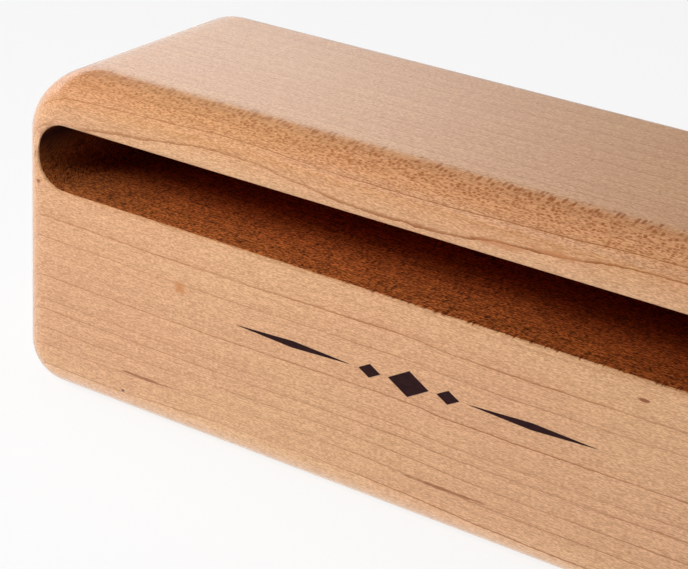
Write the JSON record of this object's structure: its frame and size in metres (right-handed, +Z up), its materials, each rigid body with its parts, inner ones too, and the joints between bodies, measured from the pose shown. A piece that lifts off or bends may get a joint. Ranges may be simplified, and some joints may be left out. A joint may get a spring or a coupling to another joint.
{
  "type": "wood block",
  "caption": "Maple wood block for percussion: a rounded billet with a long round-ended slot milled under its struck top, a dark inlaid ornament on the front and a flat base.",
  "frame": {"origin": "middle of the underside", "axes": "+X along the block's length, front with the slot at -Y, +Z up towards the struck top"},
  "size_m": [0.1714, 0.057, 0.0635],
  "materials": {
    "lacquered_maple": "satin clear lacquer over fine straight grain",
    "dark_filling": "matt brown-black engraver's filler"
  },
  "bodies": {
    "root": {"maple_block": "lacquered_maple", "front_mark": "dark_filling"}
  },
  "joints": []
}
